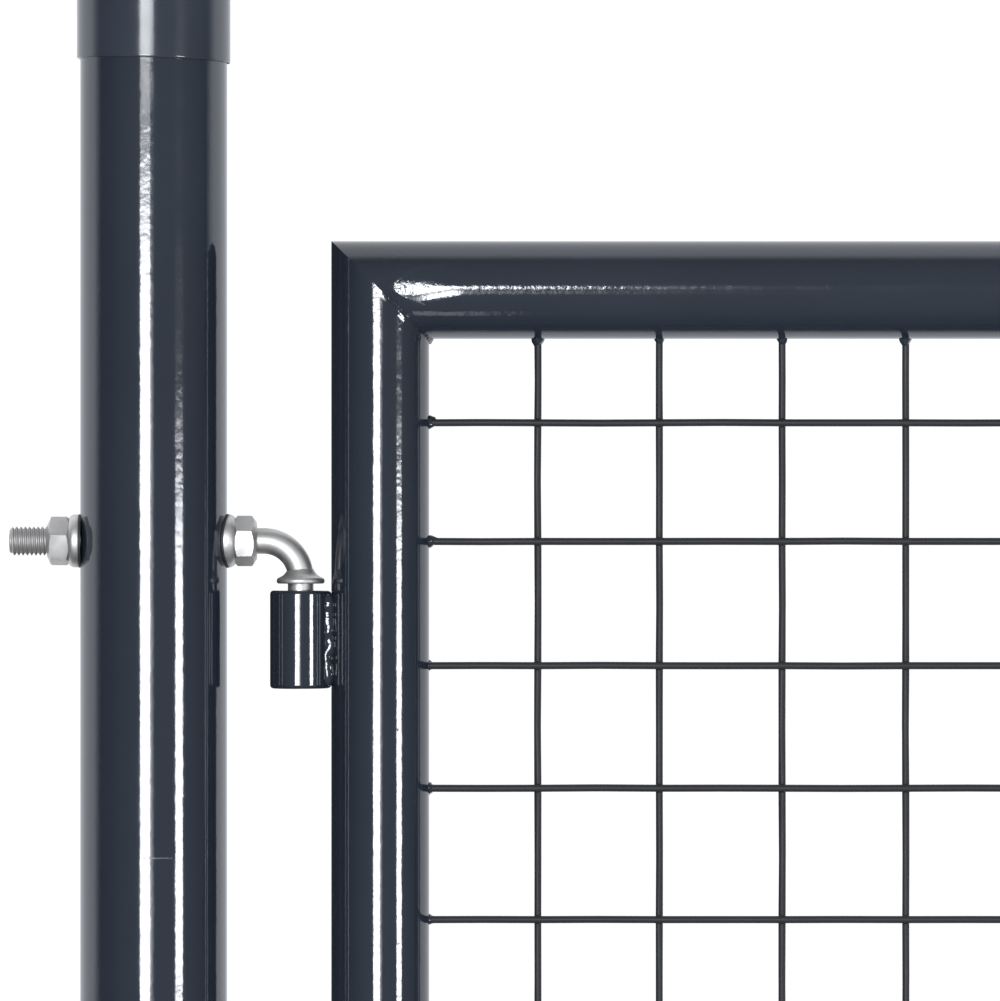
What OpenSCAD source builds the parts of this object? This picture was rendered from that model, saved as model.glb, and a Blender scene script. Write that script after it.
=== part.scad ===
// Mesh garden gate between two round posts: a tube frame filled with welded mesh, hung on two
// adjustable hinge bolts, with a lever lock in its latch stile.
// The origin is the centre of the hinge post's foot. +X runs to the latch post, +Z is up, and the
// leaf opens towards +Y.

/* [Posts] */
// Outside diameter of both posts
post_d = 60; // [56:1:76]
// Wall of the post tubes
post_wall = 1.5; // [1.2:0.1:3]
// Post tube above the leaf's top edge
post_rise = 107; // [90:1:200]
// Height of the cap's skirt
cap_skirt = 33.5; // [15:0.5:45]
// Wall of the cap's skirt
cap_wall = 1.2; // [1:0.1:3]
// Thickness of the cap's top at its edge
cap_top = 2; // [1.5:0.1:4]
// Rise of the cap's dome over its edge
cap_dome = 3; // [1:0.5:8]

/* [Leaf] */
// Leaf width over the frame tubes
leaf_w = 820; // [500:10:1200]
// Leaf height over the frame tubes
leaf_h = 1250; // [700:10:1500]
// Clear height under the leaf
ground_gap = 50; // [20:1:120]
// Gap between the leaf and the latch post
latch_gap = 17.5; // [17:0.5:30]
// Outside diameter of the frame tubes
frame_d = 40; // [38:1:50]
// Wall of the frame tubes
frame_wall = 1.5; // [1.2:0.1:3]

/* [Mesh] */
// Spacing of the wires both ways
mesh_pitch = 50; // [40:1:60]
// Wire diameter
wire_d = 3; // [2.5:0.1:4]
// Least gap between an outer wire and its tube
mesh_edge = 25; // [20:1:30]
// How deep crossing wires are pressed together where they are welded
weld_sink = 0.3; // [0.2:0.05:0.6]

/* [Hinges] */
// From the post's surface to the hinge pin's axis
pin_reach = 30; // [30:0.5:45]
// Thread diameter of the hinge bolts
thread_d = 11.8; // [10:0.1:12]
// Plain shank and pin diameter
shank_d = 10.5; // [9:0.1:10.5]
// Centre-line radius of the bend
bend_r = 15; // [12:0.5:15]
// Bolt beyond the outer nut
bolt_tail = 15.4; // [6:0.2:30]
// Collar diameter
collar_d = 19.6; // [16:0.2:22]
// Height of the collar's rim
collar_rim = 2.4; // [1.5:0.1:4]
// Height of the cone above the collar's rim
collar_cone = 3.6; // [2:0.1:5]
// Barrel diameter
barrel_d = 25; // [20:0.5:30]
// Barrel height
barrel_h = 40; // [35:1:60]
// Rounding of the barrel's rims
barrel_round = 1.5; // [0.5:0.1:2]
// Radial clearance of the pin in its barrel
pin_clear = 0.25; // [0.1:0.05:0.4]
// Pin inside the barrel
pin_in = 34; // [20:1:34]
// From the end of the leaf to the near end of each barrel
hinge_inset = 142.6; // [100:0.2:250]
// Gap between the upper collar and its barrel
upper_gap = 2.8; // [1:0.1:6]
// Gap between the lower collar and the barrel that rests on it
lower_gap = 0.3; // [0.1:0.1:0.5]

/* [Hinge fastenings] */
// Nut size across its flats
nut_af = 18; // [17:0.5:19]
// Nut thickness
nut_t = 8.8; // [6:0.1:10]
// Turn of the outer nuts about the bolt
outer_nut_turn = 17; // [0:1:59]
// Turn of the inner nuts about the bolt
inner_nut_turn = 7; // [0:1:59]
// Washer diameter
washer_d = 21.6; // [20:0.2:26]
// Washer thickness on the post's centre line
outer_washer_t = 4.2; // [3:0.1:5]
// Thickness of the inner saddle washer on the post's centre line
inner_washer_t = 2.6; // [1.5:0.1:3]
// Thickness of the outer gasket where the nut presses it on the post
outer_gasket_t = 0.3; // [0.2:0.1:1]
// Thickness of the outer gasket at its edge
outer_gasket_edge = 0.8; // [0.5:0.1:1.5]
// Thickness of the inner gasket
inner_gasket_t = 0.7; // [0.5:0.1:1]
// Gasket diameter
gasket_d = 22; // [20:0.2:26]
// Radial clearance of the bolt in the post, washers and gaskets
bolt_clear = 0.3; // [0.1:0.1:1]
// Radial clearance of the thread in its nuts
thread_clear = 0.05; // [0.02:0.01:0.1]

/* [Lock] */
// Height of the lock's centre above the leaf's bottom edge
lock_up = 900; // [350:5:1100]
// Lock case width, from its forend inwards
case_w = 60; // [56:1:70]
// Lock case height
case_h = 170; // [165:1:200]
// Lock case thickness
case_t = 30; // [26:0.5:32]
// Wall of the lock case
case_wall = 2; // [1.5:0.1:3]
// Handle plate width
plate_w = 30; // [26:0.5:31]
// Handle plate height
plate_h = 160; // [150:1:165]
// Handle plate thickness
plate_t = 8; // [5:0.5:10]
// Inset of the handle plates from the lock case's inner edge
plate_inset = 1; // [0:0.5:2]
// Rise of the lever's axis over the lock's centre
lever_up = 35; // [30:1:45]
// Drop of the key cylinder's axis below the lock's centre
cylinder_down = 37; // [30:1:45]
// Lever bar diameter
lever_d = 16; // [14:0.5:18]
// From the plate to the middle of the lever's grip
lever_stand = 42; // [36:1:55]
// Lever length from its axis to the end of the grip
lever_len = 120; // [90:1:130]
// Bend of the lever at its centre line
lever_bend = 14; // [10:0.5:20]
// Side of the square spindle between the levers
spindle_side = 8; // [7:0.5:9]
// Diameter of the key cylinder's round part
cylinder_d = 17; // [16:0.5:18]
// Width of the key cylinder's web
cylinder_web = 10; // [9:0.5:11]
// Overall height of the key cylinder
cylinder_h = 33; // [30:0.5:34]
// How far the key cylinder stands out of the handle plates
cylinder_proud = 2; // [0.5:0.5:4]
// Clearance around the lever neck, key cylinder and bolts
lock_clear = 0.3; // [0.1:0.1:0.5]
// Thickness of the latch and the dead bolt
latch_t = 11; // [8:0.5:14]
// Height of the latch and the dead bolt
latch_h = 24; // [18:1:30]
// Length of the latch and the dead bolt inside the case
bolt_in = 24; // [15:1:25]
// How far the drawn-back latch stands out of the lock case
latch_out = 4; // [2:0.5:5]
// Drop of the dead bolt below the lock's centre
dead_down = 15; // [5:1:20]

/* [Strike and stop] */
// Sheet of the strike plate
strike_t = 3; // [2:0.5:4]
// Gap between the strike plate and the leaf's edge
strike_gap = 9.5; // [8:0.5:10]
// Strike plate height
strike_h = 170; // [150:1:200]
// Strike plate behind the post's centre plane
strike_back = 18; // [14:1:24]
// Clearance of the latch and dead bolt in the strike's holes
strike_clear = 2; // [1:0.5:4]
// Gap between the closed leaf and the stop pad
stop_gap = 5.5; // [5:0.5:8]
// Stop lip's reach over the leaf's edge
stop_reach = 14; // [8:1:18]
// Thickness of the stop pad
pad_t = 4; // [2:0.5:6]
// Height of the stop pad
pad_h = 120; // [60:1:140]

/* [Hidden] */
$fn = 144;
dome_fn = 256;
over = 5; // how far a cutter runs past what it cuts
wire_sides = 8;

post_r = post_d / 2;
frame_r = frame_d / 2;
barrel_r = barrel_d / 2;
pin_x = post_r + pin_reach;
leaf_x0 = pin_x + barrel_r;
leaf_x1 = leaf_x0 + leaf_w;
leaf_z0 = ground_gap;
leaf_z1 = leaf_z0 + leaf_h;
hinge_stile_x = leaf_x0 + frame_r;
latch_stile_x = leaf_x1 - frame_r;
latch_post_x = leaf_x1 + latch_gap + post_r;
post_h = leaf_z1 + post_rise;
cap_fit = 0.15; // radial clearance of the cap on its post

// Hinge bolts: the barrels set their height, and each bolt is measured from its own axis.
collar_drop = bend_r + collar_rim;
upper_bolt_z = leaf_z1 - hinge_inset + upper_gap + collar_drop;
lower_bolt_z = leaf_z0 + hinge_inset - lower_gap - collar_drop;
outer_gasket_x = -post_r - outer_gasket_t;
outer_washer_x = outer_gasket_x - outer_washer_t;
outer_nut_x = outer_washer_x - nut_t;
bolt_end_x = outer_nut_x - bolt_tail;
inner_washer_x = post_r + inner_gasket_t + inner_washer_t;
thread_end_x = inner_washer_x + nut_t;
bolt_hole_r = thread_d / 2 + bolt_clear;
end_chamfer = 1.2;

// Barrel weld: fills the hollow between barrel and stile down to a narrow gap on their tangent line.
weld_near = 1.5;
weld_far = barrel_r / 2;
weld_end = 3; // weld left off at each end of the barrel

// Mesh
clear_w = leaf_w - 2 * frame_d;
clear_h = leaf_h - 2 * frame_d;
columns = floor((clear_w - 2 * mesh_edge) / mesh_pitch) + 1;
rows = floor((clear_h - 2 * mesh_edge) / mesh_pitch) + 1;
column_x0 = leaf_x0 + leaf_w / 2 - (columns - 1) * mesh_pitch / 2;
row_z0 = leaf_z0 + leaf_h / 2 - (rows - 1) * mesh_pitch / 2;
wire_y = wire_d / 2 - weld_sink;
// How far the welded wires stray from even spacing, repeated down from the top wire and across
// from the hinge side.
row_strays = [0.8, 2.4, 1.7, 1.7, -1.9];
column_strays = [-0.7, -1.1, -1, -0.5];

// Lock: the forend is flush with the slot that the case leaves in the round stile.
lock_z = leaf_z0 + lock_up;
forend_x = latch_stile_x + sqrt(frame_r * frame_r - case_t * case_t / 4);
case_x0 = forend_x - case_w;
plate_x = case_x0 + plate_inset + plate_w / 2;
plate_y = case_t / 2;
lever_z = lock_z + lever_up;
cylinder_z = lock_z - cylinder_down;
dead_z = lock_z - dead_down;

// Strike
strike_x = leaf_x1 + strike_gap;
pad_y = -frame_r - stop_gap;
lip_y = pad_y - pad_t;
pad_w = stop_reach - 2;
gusset_y = post_r * 0.6;

module tube(d, wall, h) {
    difference() {
        cylinder(d = d, h = h);
        translate([0, 0, -over]) cylinder(d = d - 2 * wall, h = h + 2 * over);
    }
}

// Along +X from x, centred on the bolt's axis.
module bolt_axis(x) {
    translate([x, 0, 0]) rotate([0, 90, 0]) children();
}

module upper() {
    translate([0, 0, upper_bolt_z]) children();
}

module lower() {
    translate([0, 0, lower_bolt_z]) mirror([0, 0, 1]) children();
}

module hinge_post() {
    color([0.17, 0.19, 0.22]) difference() {
        tube(post_d, post_wall, post_h);
        for (z = [upper_bolt_z, lower_bolt_z])
            translate([0, 0, z]) bolt_axis(-post_d) cylinder(r = bolt_hole_r, h = 2 * post_d);
    }
}

module latch_post() {
    color([0.17, 0.19, 0.22]) translate([latch_post_x, 0, 0]) tube(post_d, post_wall, post_h);
}

// The cap's own zero is the top end of its post.
module post_cap() {
    outer_r = post_r + cap_fit + cap_wall;
    dome_r = (outer_r * outer_r + cap_dome * cap_dome) / (2 * cap_dome);
    color([0.15, 0.17, 0.2]) translate([0, 0, post_h]) rotate_extrude() {
        translate([post_r + cap_fit, -cap_skirt]) square([cap_wall, cap_skirt + cap_top]);
        intersection() {
            translate([0, cap_top + cap_dome - dome_r]) circle(r = dome_r, $fn = dome_fn);
            square([outer_r, cap_top + cap_dome]);
        }
    }
}

module hinge_bolt() {
    color([0.72, 0.73, 0.74]) {
        bolt_axis(bolt_end_x) rotate_extrude() polygon([
            [0, 0], [thread_d / 2 - end_chamfer, 0], [thread_d / 2, end_chamfer],
            [thread_d / 2, thread_end_x - bolt_end_x], [0, thread_end_x - bolt_end_x]
        ]);
        bolt_axis(thread_end_x - 1) cylinder(d = shank_d, h = pin_x - bend_r - thread_end_x + 1);
        translate([pin_x - bend_r, 0, -bend_r]) rotate([90, 0, 0])
            rotate_extrude(angle = 90) translate([bend_r, 0]) circle(d = shank_d);
        translate([pin_x, 0, -collar_drop]) rotate_extrude() polygon([
            [0, 0], [collar_d / 2 - 0.5, 0], [collar_d / 2, 0.5], [collar_d / 2, collar_rim - 0.5],
            [collar_d / 2 - 0.6, collar_rim], [shank_d / 2 - 0.4, collar_rim + collar_cone],
            [0, collar_rim + collar_cone]
        ]);
    }
}

// The pin starts at the collar's underside and runs down through its gap into the barrel.
module hinge_pin(gap) {
    pin_len = gap + pin_in;
    color([0.72, 0.73, 0.74]) translate([pin_x, 0, -collar_drop - pin_len]) rotate_extrude() polygon([
        [0, 0], [shank_d / 2 - end_chamfer, 0], [shank_d / 2, end_chamfer],
        [shank_d / 2, pin_len + 1], [0, pin_len + 1]
    ]);
}

module nut(x, turn) {
    corner_r = nut_af / 2 / cos(30);
    bevel = (corner_r - nut_af / 2) * 0.75;
    color([0.66, 0.67, 0.68]) bolt_axis(x) rotate([0, 0, turn]) difference() {
        intersection() {
            cylinder(r = corner_r, h = nut_t, $fn = 6);
            rotate_extrude() polygon([
                [0, 0], [nut_af / 2, 0], [corner_r + 0.1, bevel], [corner_r + 0.1, nut_t - bevel],
                [nut_af / 2, nut_t], [0, nut_t]
            ]);
        }
        translate([0, 0, -over]) cylinder(r = thread_d / 2 + thread_clear, h = nut_t + 2 * over);
    }
}

// Washer blank on the bolt's axis, its narrow nut side at zero.
module washer_blank(h) {
    rotate_extrude() polygon([
        [bolt_hole_r, 0], [washer_d / 2 - 1.2, 0], [washer_d / 2 - 0.5, 0.7], [washer_d / 2, 1.8],
        [washer_d / 2, h], [bolt_hole_r, h]
    ]);
}

module outer_washer() {
    color([0.72, 0.73, 0.74]) bolt_axis(outer_washer_x) washer_blank(outer_washer_t);
}

module inner_washer() {
    color([0.72, 0.73, 0.74]) difference() {
        mirror([1, 0, 0]) bolt_axis(-inner_washer_x) washer_blank(inner_washer_x - post_r / 2);
        cylinder(r = post_r + inner_gasket_t, h = 2 * washer_d, center = true);
    }
}

// A flat rubber disc, pressed thin where it touches the round post.
module outer_gasket() {
    color([0.06, 0.06, 0.06]) difference() {
        bolt_axis(outer_gasket_x) cylinder(d = gasket_d, h = outer_gasket_edge);
        bolt_axis(outer_gasket_x - over) cylinder(r = bolt_hole_r, h = post_r);
        cylinder(r = post_r, h = 2 * gasket_d, center = true);
    }
}

module inner_gasket() {
    color([0.06, 0.06, 0.06]) difference() {
        intersection() {
            bolt_axis(post_r / 2) cylinder(d = gasket_d, h = post_r);
            cylinder(r = post_r + inner_gasket_t, h = 2 * gasket_d, center = true);
        }
        bolt_axis(0) cylinder(r = bolt_hole_r, h = post_d);
        cylinder(r = post_r, h = 3 * gasket_d, center = true);
    }
}

module hinge_barrel(z) {
    bore_r = shank_d / 2 + pin_clear;
    edge = barrel_round;
    color([0.17, 0.19, 0.22]) translate([pin_x, 0, z]) rotate_extrude() {
        translate([bore_r, 0]) square([barrel_r - edge - bore_r, barrel_h]);
        translate([bore_r, edge]) square([barrel_r - bore_r, barrel_h - 2 * edge]);
        for (y = [edge, barrel_h - edge])
            translate([barrel_r - edge, y]) circle(r = edge);
    }
}

module barrel_weld(z) {
    color([0.17, 0.19, 0.22]) difference() {
        for (side = [-1, 1])
            translate([pin_x, side * (weld_near + weld_far) / 2, z + barrel_h / 2])
                translate([0, -(weld_far - weld_near) / 2, weld_end - barrel_h / 2])
                    cube([barrel_r + frame_r, weld_far - weld_near, barrel_h - 2 * weld_end]);
        translate([pin_x, 0, z - over]) cylinder(r = barrel_r, h = barrel_h + 2 * over);
        translate([hinge_stile_x, 0, z - over]) cylinder(r = frame_r, h = barrel_h + 2 * over);
        translate([hinge_stile_x, -frame_d, z - over]) cube([frame_d, 2 * frame_d, barrel_h + 2 * over]);
    }
}

// Frame tube along +Z with its outer side on x = 0 and both ends mitred towards +X.
module mitred_tube(length) {
    intersection() {
        translate([frame_r, 0, -over]) tube(frame_d, frame_wall, length + 2 * over);
        rotate([90, 0, 0]) linear_extrude(frame_d + 2 * over, center = true) polygon([
            [-over, -over], [frame_d + over, frame_d + over],
            [frame_d + over, length - frame_d - over], [-over, length + over]
        ]);
    }
}

module hinge_stile() {
    color([0.17, 0.19, 0.22]) translate([leaf_x0, 0, leaf_z0]) mitred_tube(leaf_h);
}

module case_block() {
    translate([case_x0, -case_t / 2, lock_z - case_h / 2]) cube([case_w, case_t, case_h]);
}

module latch_stile() {
    color([0.17, 0.19, 0.22]) difference() {
        translate([leaf_x1, 0, leaf_z0]) mirror([1, 0, 0]) mitred_tube(leaf_h);
        translate([case_x0, -case_t / 2, lock_z - case_h / 2]) cube([case_w + frame_d, case_t, case_h]);
    }
}

module top_rail() {
    color([0.17, 0.19, 0.22]) translate([leaf_x0, 0, leaf_z1]) rotate([0, 90, 0]) mitred_tube(leaf_w);
}

module bottom_rail() {
    color([0.17, 0.19, 0.22]) translate([leaf_x0, 0, leaf_z0]) mirror([0, 0, 1]) rotate([0, 90, 0])
        mitred_tube(leaf_w);
}

module wire(length) {
    rotate([0, 0, 180 / wire_sides]) cylinder(d = wire_d, h = length, $fn = wire_sides);
}

module mesh_panel() {
    color([0.2, 0.22, 0.25]) difference() {
        union() {
            for (i = [0 : columns - 1])
                translate([
                    column_x0 + i * mesh_pitch + column_strays[i % len(column_strays)],
                    wire_y, leaf_z0 + frame_r
                ]) wire(leaf_h - frame_d);
            for (i = [0 : rows - 1])
                translate([
                    leaf_x0 + frame_r, -wire_y,
                    row_z0 + i * mesh_pitch + row_strays[(rows - 1 - i) % len(row_strays)]
                ]) rotate([0, 90, 0]) wire(leaf_w - frame_d);
        }
        for (x = [hinge_stile_x, latch_stile_x])
            translate([x, 0, 0]) cylinder(r = frame_r, h = leaf_z1 + over);
        for (z = [leaf_z0 + frame_r, leaf_z1 - frame_r])
            translate([0, 0, z]) rotate([0, 90, 0]) cylinder(r = frame_r, h = leaf_x1 + over);
        case_block();
    }
}

module lever_hole(d, depth) {
    translate([plate_x, 0, lever_z]) rotate([90, 0, 0]) cylinder(d = d, h = depth, center = true);
}

// Section of the key cylinder, grown by a clearance.
module cylinder_profile(grow) {
    foot_y = cylinder_d / 2 - cylinder_h + cylinder_web / 2;
    circle(r = cylinder_d / 2 + grow);
    translate([-cylinder_web / 2 - grow, foot_y]) square([cylinder_web + 2 * grow, -foot_y]);
    translate([0, foot_y]) circle(r = cylinder_web / 2 + grow);
}

module key_cylinder(grow, depth) {
    translate([plate_x, 0, cylinder_z]) rotate([90, 0, 0])
        linear_extrude(depth, center = true) cylinder_profile(grow);
}

// Bolt bar in the lock case, reaching out of the forend.
module bolt_bar(z, out, grow) {
    translate([forend_x - bolt_in, -latch_t / 2 - grow, z - latch_h / 2 - grow])
        cube([bolt_in + out, latch_t + 2 * grow, latch_h + 2 * grow]);
}

module lock_case() {
    color([0.17, 0.19, 0.22]) difference() {
        case_block();
        translate([case_x0 + case_wall, -case_t / 2 + case_wall, lock_z - case_h / 2 + case_wall])
            cube([case_w - 2 * case_wall, case_t - 2 * case_wall, case_h - 2 * case_wall]);
        lever_hole(spindle_side * sqrt(2) + 2 * lock_clear, case_t + 2 * over);
        key_cylinder(lock_clear, case_t + 2 * over);
        bolt_bar(lever_z, over, lock_clear);
        bolt_bar(dead_z, over, lock_clear);
    }
}

// The front plate; the back one is its mirror image.
module handle_plate() {
    corner = 3;
    color([0.08, 0.08, 0.08]) difference() {
        translate([plate_x, -plate_y, lock_z]) rotate([90, 0, 0]) linear_extrude(plate_t) {
            square([plate_w - 2 * corner, plate_h], center = true);
            square([plate_w, plate_h - 2 * corner], center = true);
            for (x = [-1, 1], y = [-1, 1])
                translate([x * (plate_w / 2 - corner), y * (plate_h / 2 - corner)]) circle(r = corner);
        }
        lever_hole(lever_d + 2 * lock_clear, 4 * (plate_y + plate_t));
        key_cylinder(lock_clear, 4 * (plate_y + plate_t));
    }
}

// Neck out of the plate, bend, and grip towards the hinge side, in front of the leaf.
module lever() {
    neck = plate_t + lever_stand - lever_bend;
    grip = lever_len - lever_bend - lever_d / 2;
    color([0.08, 0.08, 0.08]) translate([plate_x, -plate_y, lever_z]) {
        rotate([90, 0, 0]) cylinder(d = lever_d, h = neck);
        translate([-lever_bend, -neck, 0]) rotate([0, 0, -90])
            rotate_extrude(angle = 90) translate([lever_bend, 0]) circle(d = lever_d);
        translate([-lever_bend, -neck - lever_bend, 0]) rotate([0, -90, 0]) cylinder(d = lever_d, h = grip);
        translate([-lever_bend - grip, -neck - lever_bend, 0]) sphere(d = lever_d);
    }
}

module front_lever() {
    lever();
    color([0.6, 0.6, 0.6]) translate([plate_x - spindle_side / 2, -plate_y - 1, lever_z - spindle_side / 2])
        cube([spindle_side, 2 * plate_y + 1, spindle_side]);
}

module back_lever() {
    mirror([0, 1, 0]) lever();
}

module lock_cylinder() {
    color([0.75, 0.7, 0.55]) difference() {
        key_cylinder(0, 2 * (plate_y + plate_t + cylinder_proud));
        for (side = [-1, 1])
            translate([plate_x - 1, side * (plate_y + plate_t + cylinder_proud) - 2, cylinder_z - 4.5])
                cube([2, 4, 9]);
    }
}

module latch_bolt() {
    bevel = latch_out - 0.5;
    color([0.72, 0.73, 0.74]) difference() {
        bolt_bar(lever_z, latch_out, 0);
        translate([forend_x + latch_out, -latch_t / 2, lever_z - latch_h]) rotate([0, 0, 45])
            translate([-bevel / sqrt(2), -over, 0]) cube([over * 2, over * 2, 2 * latch_h]);
    }
}

module dead_bolt() {
    color([0.72, 0.73, 0.74]) bolt_bar(dead_z, 0, 0);
}

// One bent sheet with a stop lip, carried off the post by three coped gussets.
module strike_plate() {
    gusset_x = strike_x + strike_t;
    color([0.17, 0.19, 0.22]) difference() {
        union() {
            translate([strike_x, lip_y - strike_t, lock_z - strike_h / 2])
                cube([strike_t, strike_back - lip_y + strike_t, strike_h]);
            translate([leaf_x1 - stop_reach, lip_y - strike_t, lock_z - strike_h / 2])
                cube([strike_gap + stop_reach + strike_t / 2, strike_t, strike_h]);
            for (z = [lock_z - strike_h / 2, (lever_z + dead_z - strike_t) / 2,
                lock_z + strike_h / 2 - strike_t])
                translate([gusset_x - 0.5, -gusset_y, z])
                    cube([latch_post_x - gusset_x, 2 * gusset_y, strike_t]);
        }
        translate([latch_post_x, 0, 0]) cylinder(r = post_r, h = post_h);
        for (z = [lever_z, dead_z])
            translate([strike_x - over, -latch_t / 2 - strike_clear, z - latch_h / 2 - strike_clear])
                cube([strike_t + 2 * over, latch_t + 2 * strike_clear, latch_h + 2 * strike_clear]);
    }
}

module stop_pad() {
    color([0.06, 0.06, 0.06]) translate([leaf_x1 - stop_reach + 1, lip_y, lock_z - pad_h / 2])
        cube([pad_w, pad_t, pad_h]);
}

hinge_post();
latch_post();
post_cap();  // hinge_post_cap
translate([latch_post_x, 0, 0]) post_cap();  // latch_post_cap
upper() { hinge_bolt(); hinge_pin(upper_gap); }  // upper_hinge_bolt
upper() nut(outer_nut_x, outer_nut_turn);  // upper_outer_nut
upper() nut(inner_washer_x, inner_nut_turn);  // upper_inner_nut
upper() outer_washer();  // upper_outer_washer
upper() inner_washer();  // upper_inner_washer
upper() outer_gasket();  // upper_outer_gasket
upper() inner_gasket();  // upper_inner_gasket
lower() { hinge_bolt(); hinge_pin(lower_gap); }  // lower_hinge_bolt
lower() nut(outer_nut_x, outer_nut_turn);  // lower_outer_nut
lower() nut(inner_washer_x, inner_nut_turn);  // lower_inner_nut
lower() outer_washer();  // lower_outer_washer
lower() inner_washer();  // lower_inner_washer
lower() outer_gasket();  // lower_outer_gasket
lower() inner_gasket();  // lower_inner_gasket
strike_plate();
stop_pad();
hinge_stile();
latch_stile();
top_rail();
bottom_rail();
mesh_panel();
hinge_barrel(leaf_z1 - hinge_inset - barrel_h);  // upper_hinge_barrel
hinge_barrel(leaf_z0 + hinge_inset);  // lower_hinge_barrel
barrel_weld(leaf_z1 - hinge_inset - barrel_h);  // upper_barrel_weld
barrel_weld(leaf_z0 + hinge_inset);  // lower_barrel_weld
lock_case();
handle_plate();  // front_handle_plate
mirror([0, 1, 0]) handle_plate();  // back_handle_plate
front_lever();
back_lever();
lock_cylinder();
latch_bolt();
dead_bolt();
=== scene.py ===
import math
import random

import bmesh
import bpy
from mathutils import Matrix, Vector, noise


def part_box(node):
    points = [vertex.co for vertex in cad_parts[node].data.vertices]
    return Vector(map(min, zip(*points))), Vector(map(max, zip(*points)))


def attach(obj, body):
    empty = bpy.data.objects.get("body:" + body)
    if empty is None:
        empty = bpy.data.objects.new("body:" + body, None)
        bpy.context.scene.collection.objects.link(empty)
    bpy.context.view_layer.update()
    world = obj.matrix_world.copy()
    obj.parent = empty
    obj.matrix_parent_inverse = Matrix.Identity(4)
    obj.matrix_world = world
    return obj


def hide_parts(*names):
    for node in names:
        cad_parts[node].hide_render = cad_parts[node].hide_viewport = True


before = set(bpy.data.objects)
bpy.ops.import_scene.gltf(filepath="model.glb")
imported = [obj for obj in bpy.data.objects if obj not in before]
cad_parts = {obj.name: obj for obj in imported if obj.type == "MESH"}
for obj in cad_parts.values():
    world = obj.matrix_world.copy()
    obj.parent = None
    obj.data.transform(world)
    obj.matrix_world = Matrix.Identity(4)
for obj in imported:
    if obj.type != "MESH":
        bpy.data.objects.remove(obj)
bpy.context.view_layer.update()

mm = 0.001
print("gate: frame loaded,", len(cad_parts), "solid parts")


# node trees: every input is a constant or the socket that feeds it

def addNode(tree, kind, inputs=None, **settings):
    node = tree.nodes.new("ShaderNode" + kind)
    for key, value in settings.items():
        setattr(node, key, value)
    column = 0
    for key, value in (inputs or {}).items():
        if isinstance(value, bpy.types.NodeSocket):
            tree.links.new(value, node.inputs[key])
            column = max(column, value.node.location.x + 200)
        else:
            node.inputs[key].default_value = value
    node.location = (column, -170 * len(tree.nodes))  # right of whatever feeds it
    return node


def calc(tree, operation, *values):
    return addNode(tree, "Math", dict(enumerate(values)), operation=operation).outputs[0]


def product(tree, first, *others):
    for other in others:
        first = calc(tree, "MULTIPLY", first, other)
    return first


def vectorCalc(tree, operation, *values):
    node = addNode(tree, "VectorMath", dict(enumerate(values)), operation=operation)
    single = operation in ("DISTANCE", "DOT_PRODUCT", "LENGTH")
    return node.outputs["Value" if single else "Vector"]


def ramp(tree, value, start, end, low=0.0, high=1.0, easing="SMOOTHSTEP"):
    # goes from low at the start to high at the end, and stays level beyond them
    return addNode(tree, "MapRange", {
        "Value": value, "From Min": start, "From Max": end, "To Min": low, "To Max": high,
    }, interpolation_type=easing).outputs["Result"]


def fadeOut(tree, value, start, end, easing="SMOOTHSTEP"):
    return ramp(tree, value, start, end, 1.0, 0.0, easing)


def cloud(tree, place, scale, detail, roughness):
    return addNode(tree, "TexNoise", {
        "Vector": place, "Scale": scale, "Detail": detail, "Roughness": roughness}).outputs["Fac"]


def blend(tree, kind, factor, first, second):
    return addNode(tree, "Mix", {"Factor": factor, "A": first, "B": second}, data_type=kind).outputs["Result"]


def startGroup(name, inlets, outlets):
    group = bpy.data.node_groups.new(name, "ShaderNodeTree")
    for way, sockets in (("INPUT", inlets), ("OUTPUT", outlets)):
        for label, kind in sockets.items():
            group.interface.new_socket(label, in_out=way, socket_type="NodeSocket" + kind)
    inn, out = group.nodes.new("NodeGroupInput"), group.nodes.new("NodeGroupOutput")
    out.location.x = 1200
    return group, inn.outputs, out.inputs


def useGroup(tree, group, place, **values):
    return addNode(tree, "Group", {"Vector": place, **values}, node_tree=group).outputs


# effects that several finishes share

def makePeelGroup():
    # the fine dimpled skin of sprayed or moulded surfaces, as a height from 0 to 1
    group, inn, out = startGroup("surfacePeel", {
        "Vector": "Vector", "Scale": "Float", "FineScale": "Float", "FineShare": "Float",
    }, {"Height": "Float"})
    coarse = cloud(group, inn["Vector"], inn["Scale"], 1.0, 0.4)
    fine = cloud(group, inn["Vector"], inn["FineScale"], 2.0, 0.5)
    group.links.new(blend(group, "FLOAT", inn["FineShare"], coarse, fine), out["Height"])
    return group


def makeToneGroup():
    # slow drift between two close colours, and a gloss that drifts with it
    group, inn, out = startGroup("toneDrift", {
        "Vector": "Vector", "Scale": "Float", "Base": "Color", "Lift": "Color",
        "LowRoughness": "Float", "HighRoughness": "Float",
    }, {"Color": "Color", "Roughness": "Float"})
    wide = cloud(group, inn["Vector"], inn["Scale"], 3.0, 0.55)
    close = cloud(group, inn["Vector"], product(group, inn["Scale"], 4.5), 4.0, 0.6)
    lifted = ramp(group, wide, 0.32, 0.68, easing="LINEAR")
    group.links.new(blend(group, "RGBA", lifted, inn["Base"], inn["Lift"]), out["Color"])
    gloss = ramp(group, close, 0.3, 0.7, inn["LowRoughness"], inn["HighRoughness"], "LINEAR")
    group.links.new(gloss, out["Roughness"])
    return group


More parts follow.
